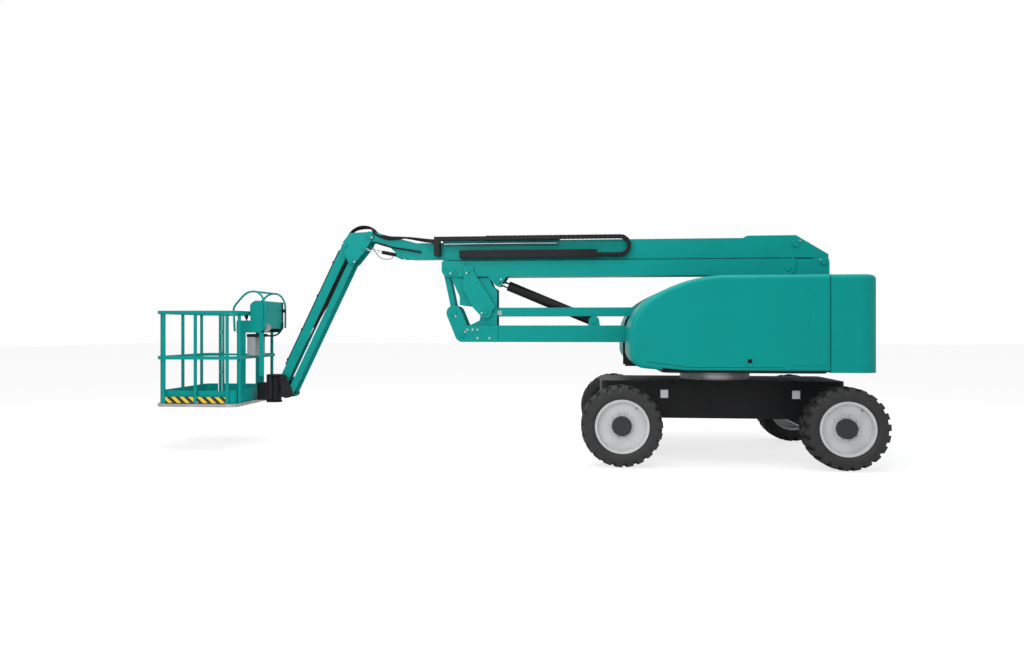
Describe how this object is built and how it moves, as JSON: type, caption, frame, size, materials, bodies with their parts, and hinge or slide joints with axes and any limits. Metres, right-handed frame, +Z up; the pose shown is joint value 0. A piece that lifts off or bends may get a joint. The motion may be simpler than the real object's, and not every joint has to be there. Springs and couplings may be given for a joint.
{
  "type": "articulating boom lift",
  "caption": "Self-propelled articulating boom lift with folding risers, telescopic boom, jib, rotating work platform and steered wheels, stowed",
  "frame": {"origin": "on the ground, at the middle of the stowed machine's length and width", "axes": "+X points to the counterweight end, -X to the platform, +Y to the side away from the hose tray, +Z up"},
  "size_m": [7.985, 2.31, 2.5849],
  "materials": {
    "boom_paint": "satin polyester paint, teal",
    "chassis_paint": "satin anthracite paint",
    "black_paint": "semi-gloss black paint",
    "rim_paint": "light silver grey paint",
    "weight_paint": "painted casting, teal",
    "cover_plastic": "moulded cover, teal",
    "tyre_rubber": "solid black rubber",
    "bare_steel": "machined steel",
    "rod_chrome": "polished chrome",
    "dark_plastic": "black plastic",
    "floor_aluminium": "ribbed aluminium plate"
  },
  "bodies": {
    "chassis": {"chassis_frame": "chassis_paint", "slew_bearing": "bare_steel", "drive_axle": "chassis_paint", "steer_axle": "chassis_paint"},
    "wheel_front_near": {"rim_front_near": "rim_paint", "tyre_front_near": "tyre_rubber"},
    "wheel_front_far": {"rim_front_far": "rim_paint", "tyre_front_far": "tyre_rubber"},
    "wheel_rear_near": {"rim_rear_near": "rim_paint", "tyre_rear_near": "tyre_rubber"},
    "wheel_rear_far": {"rim_rear_far": "rim_paint", "tyre_rear_far": "tyre_rubber"},
    "knuckle_near": {"steer_knuckle_near": "bare_steel"},
    "knuckle_far": {"steer_knuckle_far": "bare_steel"},
    "tie_rod": {"tie_rod": "bare_steel"},
    "turntable": {"turntable_frame": "chassis_paint", "riser_towers": "boom_paint", "counterweight": "weight_paint", "engine_block": "black_paint", "hydraulic_tank": "black_paint"},
    "cover_near": {"cover_near": "cover_plastic"},
    "cover_far": {"cover_far": "cover_plastic"},
    "lower_riser": {"lower_riser": "boom_paint"},
    "lower_link": {"lower_link": "boom_paint"},
    "mid_knuckle": {"mid_knuckle": "boom_paint"},
    "timing_link": {"timing_link": "boom_paint"},
    "riser_barrel": {"riser_cylinder_barrel": "black_paint"},
    "riser_rod": {"riser_cylinder_rod": "rod_chrome"},
    "upper_riser": {"upper_riser": "boom_paint"},
    "upper_link": {"upper_link": "boom_paint"},
    "upper_knuckle": {"upper_knuckle": "boom_paint"},
    "main_boom": {"main_boom": "boom_paint", "boom_wear_pads": "dark_plastic", "lower_hose_tray": "black_paint"},
    "lift_barrel": {"lift_cylinder_barrel": "black_paint"},
    "lift_rod": {"lift_cylinder_rod": "rod_chrome"},
    "fly_boom": {"fly_boom": "boom_paint", "upper_hose_tray": "black_paint"},
    "hose_chain": {"hose_chain_loop": "dark_plastic"},
    "nose_bracket": {"nose_bracket": "boom_paint"},
    "level_barrel": {"level_cylinder_barrel": "black_paint"},
    "level_rod": {"level_cylinder_rod": "rod_chrome"},
    "jib_arm": {"jib_arm": "boom_paint"},
    "jib_link": {"jib_link": "boom_paint"},
    "jib_barrel": {"jib_cylinder_barrel": "black_paint"},
    "jib_rod": {"jib_cylinder_rod": "rod_chrome"},
    "platform_bracket": {"platform_bracket": "chassis_paint", "rotator": "black_paint"},
    "platform": {"platform_support": "chassis_paint", "platform_floor": "floor_aluminium", "platform_rails": "boom_paint", "toe_boards": "boom_paint", "control_console": "boom_paint", "console_cover": "dark_plastic"},
    "gate": {"platform_gate": "boom_paint"}
  },
  "joints": [
    {"name": "slew", "type": "hinge", "parent": "chassis", "child": "turntable", "pos_m": [2.4575, 0, 0.91], "axis": [0, 0, 1], "continuous": true},
    {"name": "wheel_front_near_spin", "type": "hinge", "parent": "chassis", "child": "wheel_front_near", "pos_m": [1.3425, -1, 0.42], "axis": [0, 1, 0], "continuous": true},
    {"name": "wheel_front_far_spin", "type": "hinge", "parent": "chassis", "child": "wheel_front_far", "pos_m": [1.3425, 1, 0.42], "axis": [0, 1, 0], "continuous": true},
    {"name": "wheel_rear_near_spin", "type": "hinge", "parent": "knuckle_near", "child": "wheel_rear_near", "pos_m": [3.5725, -1, 0.42], "axis": [0, 1, 0], "continuous": true},
    {"name": "wheel_rear_far_spin", "type": "hinge", "parent": "knuckle_far", "child": "wheel_rear_far", "pos_m": [3.5725, 1, 0.42], "axis": [0, 1, 0], "continuous": true},
    {"name": "steer", "type": "hinge", "parent": "chassis", "child": "knuckle_near", "pos_m": [3.5725, -0.79, 0.42], "axis": [0, 0, 1], "range_deg": [-35, 35]},
    {"name": "steer_far", "type": "hinge", "parent": "chassis", "child": "knuckle_far", "pos_m": [3.5725, 0.79, 0.42], "axis": [0, 0, 1], "range_deg": [-35.2, 35.2]},
    {"name": "tie_rod_turn", "type": "hinge", "parent": "knuckle_near", "child": "tie_rod", "pos_m": [3.3825, -0.79, 0.33], "axis": [0, 0, 1], "range_deg": [-35.2, 35.2]},
    {"name": "cover_near_lift", "type": "hinge", "parent": "turntable", "child": "cover_near", "pos_m": [2.9075, -0.248, 1.936], "axis": [-1, 0, 0], "range_deg": [0, 70]},
    {"name": "cover_far_lift", "type": "hinge", "parent": "turntable", "child": "cover_far", "pos_m": [2.9075, 0.248, 1.936], "axis": [1, 0, 0], "range_deg": [0, 70]},
    {"name": "riser_lift", "type": "hinge", "parent": "turntable", "child": "lower_riser", "pos_m": [3.3725, 0, 1.355], "axis": [0, 1, 0], "range_deg": [0, 42]},
    {"name": "lower_link_turn", "type": "hinge", "parent": "turntable", "child": "lower_link", "pos_m": [3.6445, 0, 1.618], "axis": [0, 1, 0], "range_deg": [0, 42.2]},
    {"name": "mid_knuckle_turn", "type": "hinge", "parent": "lower_riser", "child": "mid_knuckle", "pos_m": [-0.4605, 0, 1.355], "axis": [0, 1, 0], "range_deg": [-42.2, 0]},
    {"name": "timing_link_turn", "type": "hinge", "parent": "lower_riser", "child": "timing_link", "pos_m": [-0.5635, 0, 1.607], "axis": [0, 1, 0], "range_deg": [-66.1, 0]},
    {"name": "riser_cylinder_turn", "type": "hinge", "parent": "lower_riser", "child": "riser_barrel", "pos_m": [1.0735, 0, 1.508], "axis": [0, 1, 0], "range_deg": [0, 3.95]},
    {"name": "riser_rod_slide", "type": "slide", "parent": "riser_barrel", "child": "riser_rod", "axis": [-0.9226, 0, 0.3857], "range_m": [0, 0.86486]},
    {"name": "upper_riser_turn", "type": "hinge", "parent": "mid_knuckle", "child": "upper_riser", "pos_m": [-0.5815, 0, 2.11], "axis": [0, 1, 0], "range_deg": [-42.2, 0]},
    {"name": "upper_link_turn", "type": "hinge", "parent": "mid_knuckle", "child": "upper_link", "pos_m": [-0.6425, 0, 2.183], "axis": [0, 1, 0], "range_deg": [-42.2, 0]},
    {"name": "upper_knuckle_turn", "type": "hinge", "parent": "upper_riser", "child": "upper_knuckle", "pos_m": [3.2515, 0, 2.11], "axis": [0, 1, 0], "range_deg": [0, 42.2]},
    {"name": "boom_lift", "type": "hinge", "parent": "upper_knuckle", "child": "main_boom", "pos_m": [3.6415, 0, 2.174], "axis": [0, 1, 0], "range_deg": [0, 70]},
    {"name": "lift_cylinder_turn", "type": "hinge", "parent": "upper_knuckle", "child": "lift_barrel", "pos_m": [3.2575, 0, 1.76], "axis": [0, 1, 0], "range_deg": [0, 24.16]},
    {"name": "lift_rod_slide", "type": "slide", "parent": "lift_barrel", "child": "lift_rod", "axis": [0.1339, 0, 0.991], "range_m": [0, 0.29889]},
    {"name": "telescope", "type": "slide", "parent": "main_boom", "child": "fly_boom", "axis": [-1, 0, 0], "range_m": [0, 1.45]},
    {"name": "hose_chain_slide", "type": "slide", "parent": "main_boom", "child": "hose_chain", "axis": [-1, 0, 0], "range_m": [0, 0.727]},
    {"name": "nose_level", "type": "hinge", "parent": "fly_boom", "child": "nose_bracket", "pos_m": [-1.5935, 0, 2.525], "axis": [0, 1, 0], "range_deg": [-70.2, 0]},
    {"name": "level_cylinder_turn", "type": "hinge", "parent": "fly_boom", "child": "level_barrel", "pos_m": [-1.2325, 0, 2.296], "axis": [0, 1, 0], "range_deg": [0, 7.51]},
    {"name": "level_rod_slide", "type": "slide", "parent": "level_barrel", "child": "level_rod", "axis": [-0.9802, 0, 0.1978], "range_m": [-0.17672, 0]},
    {"name": "jib_lift", "type": "hinge", "parent": "nose_bracket", "child": "jib_arm", "pos_m": [-1.8805, 0, 2.418], "axis": [0, 1, 0], "range_deg": [-6, 115]},
    {"name": "jib_link_turn", "type": "hinge", "parent": "nose_bracket", "child": "jib_link", "pos_m": [-1.8025, 0, 2.231], "axis": [0, 1, 0], "range_deg": [-6.2, 115.2]},
    {"name": "jib_cylinder_turn", "type": "hinge", "parent": "nose_bracket", "child": "jib_barrel", "pos_m": [-1.83987, 0, 2.26635], "axis": [0, 1, 0], "range_deg": [-6.18, 114.84]},
    {"name": "jib_rod_slide", "type": "slide", "parent": "jib_barrel", "child": "jib_rod", "axis": [-0.5043, 0, -0.8635], "range_m": [-0.01596, 0.26951]},
    {"name": "platform_level", "type": "hinge", "parent": "jib_arm", "child": "platform_bracket", "pos_m": [-2.65066, 0, 0.82767], "axis": [0, 1, 0], "range_deg": [-115.2, 6.2]},
    {"name": "platform_rotate", "type": "hinge", "parent": "platform_bracket", "child": "platform", "pos_m": [-2.7775, 0, 0.698], "axis": [0, 0, 1], "range_deg": [-80, 80]},
    {"name": "gate_swing", "type": "hinge", "parent": "platform", "child": "gate", "pos_m": [-3.7395, 0.581, 1.075], "axis": [0, 0, -1], "range_deg": [0, 90]}
  ],
  "couplings": [
    {"joint": "steer_far", "follows": "steer", "ratio": 1},
    {"joint": "tie_rod_turn", "follows": "steer", "ratio": -1},
    {"joint": "lower_link_turn", "follows": "riser_lift", "ratio": 1},
    {"joint": "mid_knuckle_turn", "follows": "riser_lift", "ratio": -1},
    {"joint": "timing_link_turn", "follows": "riser_lift", "ratio": -1.569},
    {"joint": "riser_cylinder_turn", "follows": "riser_lift", "ratio": 0.089375},
    {"joint": "riser_rod_slide", "follows": "riser_lift", "m_per_rad": 1.1771},
    {"joint": "upper_riser_turn", "follows": "riser_lift", "ratio": -1},
    {"joint": "upper_link_turn", "follows": "riser_lift", "ratio": -1},
    {"joint": "upper_knuckle_turn", "follows": "riser_lift", "ratio": 1},
    {"joint": "lift_cylinder_turn", "follows": "boom_lift", "ratio": 0.34233},
    {"joint": "lift_rod_slide", "follows": "boom_lift", "m_per_rad": 0.243},
    {"joint": "hose_chain_slide", "follows": "telescope", "ratio": 0.5},
    {"joint": "nose_level", "follows": "boom_lift", "ratio": -1},
    {"joint": "level_cylinder_turn", "follows": "boom_lift", "ratio": 0.10446},
    {"joint": "level_rod_slide", "follows": "boom_lift", "m_per_rad": -0.14301},
    {"joint": "jib_link_turn", "follows": "jib_lift", "ratio": 1},
    {"joint": "jib_cylinder_turn", "follows": "jib_lift", "ratio": 0.99688},
    {"joint": "jib_rod_slide", "follows": "jib_lift", "m_per_rad": 0.13328},
    {"joint": "platform_level", "follows": "jib_lift", "ratio": -1}
  ]
}
